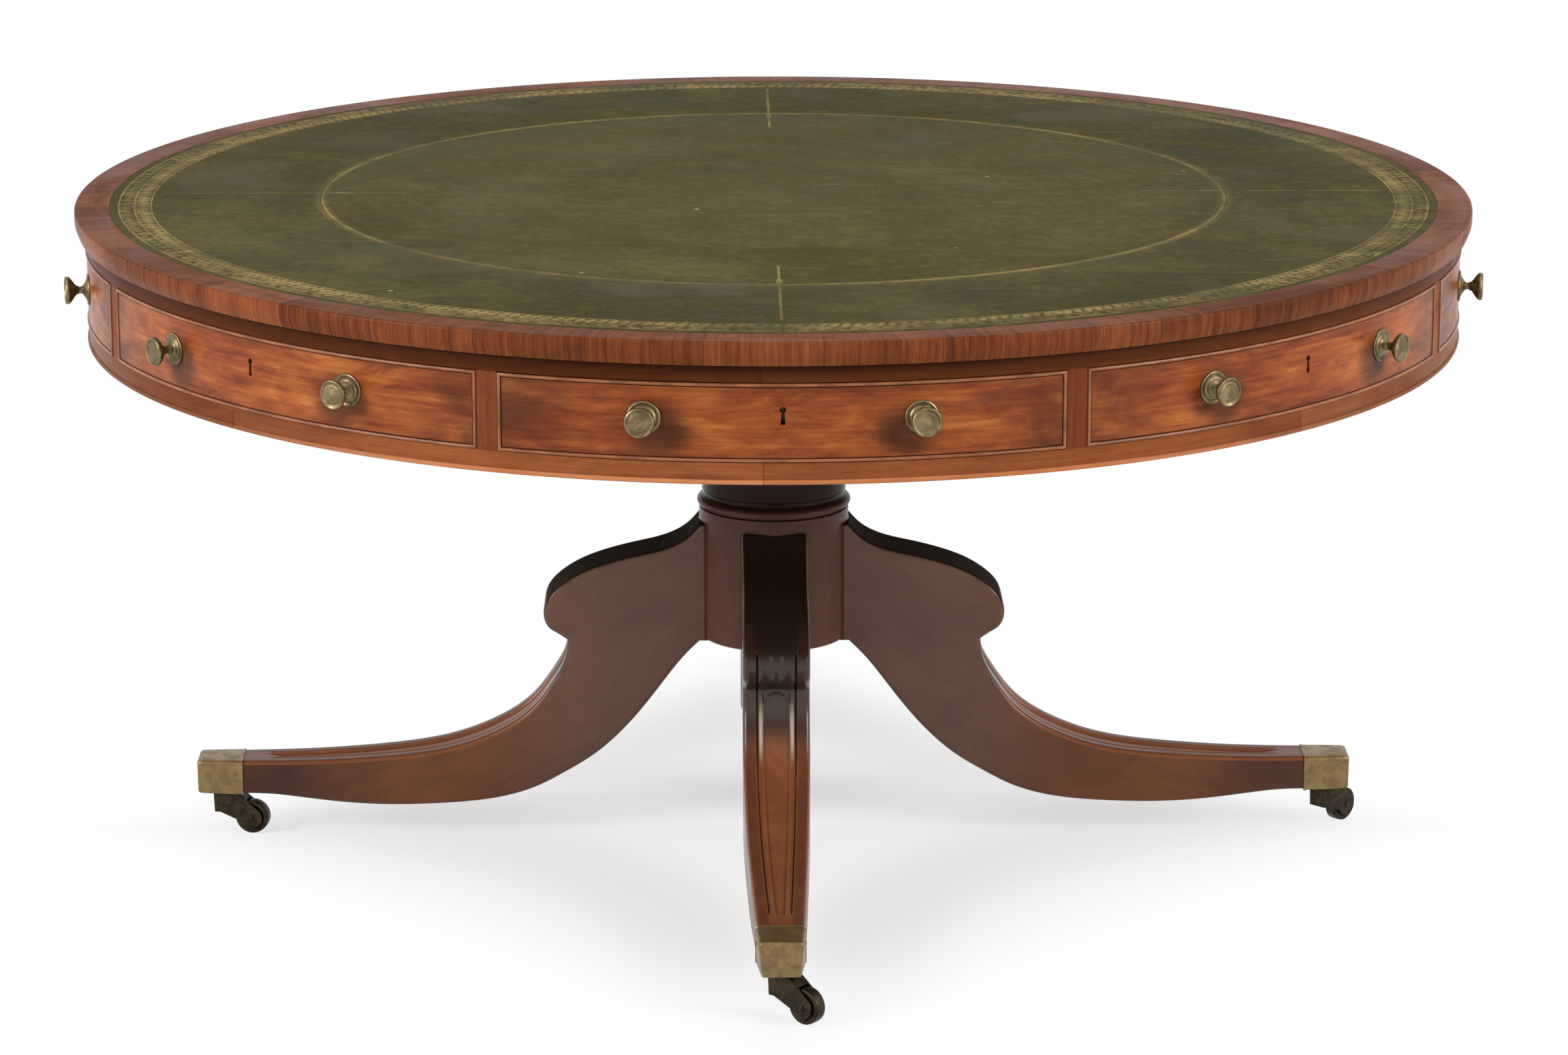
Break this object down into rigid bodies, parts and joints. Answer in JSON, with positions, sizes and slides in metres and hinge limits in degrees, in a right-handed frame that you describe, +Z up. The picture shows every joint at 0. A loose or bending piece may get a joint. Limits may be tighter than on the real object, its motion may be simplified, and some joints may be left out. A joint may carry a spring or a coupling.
{
  "type": "drum table",
  "caption": "Round revolving writing table with a leather top, curved drawers in its frieze, a turned pedestal, sabre legs and brass castors.",
  "frame": {"origin": "pedestal axis on the floor, midway between the castors", "axes": "+Z up, -Y out of the front drawer, +X to the right as seen from the front"},
  "size_m": [1.5458, 1.5458, 0.74],
  "materials": {
    "veneer": "figured mahogany veneer, French polished",
    "bead": "dark mahogany cock-bead, polished",
    "crossband": "crossbanded mahogany, French polished, worn",
    "leather": "tooled olive-green leather, gilt lines, waxed",
    "carcase": "plain secondary timber, dry",
    "lining": "oak drawer linings, dry",
    "pedestal": "dark mahogany, French polished",
    "brass": "aged lacquered brass",
    "castor_brass": "tarnished brass",
    "iron": "blackened iron"
  },
  "bodies": {
    "base": {"pedestal_block": "pedestal", "pedestal_column": "pedestal", "bearing_platform": "pedestal", "pivot_spindle": "iron", "leg_brace_plate": "iron", "leg_front": "pedestal", "leg_right": "pedestal", "leg_back": "pedestal", "leg_left": "pedestal", "brass_cap_front": "brass", "brass_cap_right": "brass", "brass_cap_back": "brass", "brass_cap_left": "brass"},
    "drum": {"leather_centre": "leather", "leather_border": "leather", "top_board": "carcase", "crossband_rim": "crossband", "frieze_top_rail": "veneer", "frieze_bottom_rail": "veneer", "frieze_base_bead": "veneer", "frieze_stiles": "veneer", "drum_floor": "carcase", "drawer_partitions": "carcase", "drawer_runners": "carcase", "pivot_hub": "carcase", "false_fronts": "veneer", "false_front_beads": "bead", "false_front_knobs": "brass"},
    "drawer_front": {"drawer_front_front": "veneer", "drawer_bead_front": "bead", "drawer_box_front": "lining", "drawer_knobs_front": "brass", "drawer_lock_front": "brass"},
    "drawer_right": {"drawer_front_right": "veneer", "drawer_bead_right": "bead", "drawer_box_right": "lining", "drawer_knobs_right": "brass", "drawer_lock_right": "brass"},
    "drawer_back": {"drawer_front_back": "veneer", "drawer_bead_back": "bead", "drawer_box_back": "lining", "drawer_knobs_back": "brass", "drawer_lock_back": "brass"},
    "drawer_left": {"drawer_front_left": "veneer", "drawer_bead_left": "bead", "drawer_box_left": "lining", "drawer_knobs_left": "brass", "drawer_lock_left": "brass"},
    "castor_front": {"castor_horn_front": "castor_brass", "castor_axle_front": "castor_brass"},
    "wheel_front": {"castor_wheel_front": "castor_brass"},
    "castor_right": {"castor_horn_right": "castor_brass", "castor_axle_right": "castor_brass"},
    "wheel_right": {"castor_wheel_right": "castor_brass"},
    "castor_back": {"castor_horn_back": "castor_brass", "castor_axle_back": "castor_brass"},
    "wheel_back": {"castor_wheel_back": "castor_brass"},
    "castor_left": {"castor_horn_left": "castor_brass", "castor_axle_left": "castor_brass"},
    "wheel_left": {"castor_wheel_left": "castor_brass"}
  },
  "joints": [
    {"name": "drum_spin", "type": "hinge", "parent": "base", "child": "drum", "pos_m": [0, 0, 0.597], "axis": [0, 0, 1], "continuous": true},
    {"name": "drawer_front_slide", "type": "slide", "parent": "drum", "child": "drawer_front", "axis": [0, -1, 0], "range_m": [0, 0.3]},
    {"name": "drawer_right_slide", "type": "slide", "parent": "drum", "child": "drawer_right", "axis": [1, 0, 0], "range_m": [0, 0.3]},
    {"name": "drawer_back_slide", "type": "slide", "parent": "drum", "child": "drawer_back", "axis": [0, 1, 0], "range_m": [0, 0.3]},
    {"name": "drawer_left_slide", "type": "slide", "parent": "drum", "child": "drawer_left", "axis": [-1, 0, 0], "range_m": [0, 0.3]},
    {"name": "castor_front_swivel", "type": "hinge", "parent": "base", "child": "castor_front", "pos_m": [0, -0.6276, 0.05], "axis": [0, 0, 1], "continuous": true},
    {"name": "wheel_front_roll", "type": "hinge", "parent": "castor_front", "child": "wheel_front", "pos_m": [0.02604, -0.64946, 0.0195], "axis": [0.6428, 0.766, 0], "continuous": true},
    {"name": "castor_right_swivel", "type": "hinge", "parent": "base", "child": "castor_right", "pos_m": [0.6276, 0, 0.05], "axis": [0, 0, 1], "continuous": true},
    {"name": "wheel_right_roll", "type": "hinge", "parent": "castor_right", "child": "wheel_right", "pos_m": [0.65164, 0.02404, 0.0195], "axis": [-0.7071, 0.7071, 0], "continuous": true},
    {"name": "castor_back_swivel", "type": "hinge", "parent": "base", "child": "castor_back", "pos_m": [0, 0.6276, 0.05], "axis": [0, 0, 1], "continuous": true},
    {"name": "wheel_back_roll", "type": "hinge", "parent": "castor_back", "child": "wheel_back", "pos_m": [0.034, 0.6276, 0.0195], "axis": [0, 1, 0], "continuous": true},
    {"name": "castor_left_swivel", "type": "hinge", "parent": "base", "child": "castor_left", "pos_m": [-0.6276, 0, 0.05], "axis": [0, 0, 1], "continuous": true},
    {"name": "wheel_left_roll", "type": "hinge", "parent": "castor_left", "child": "wheel_left", "pos_m": [-0.59434, -0.00707, 0.0195], "axis": [0.2079, 0.9781, 0], "continuous": true}
  ]
}
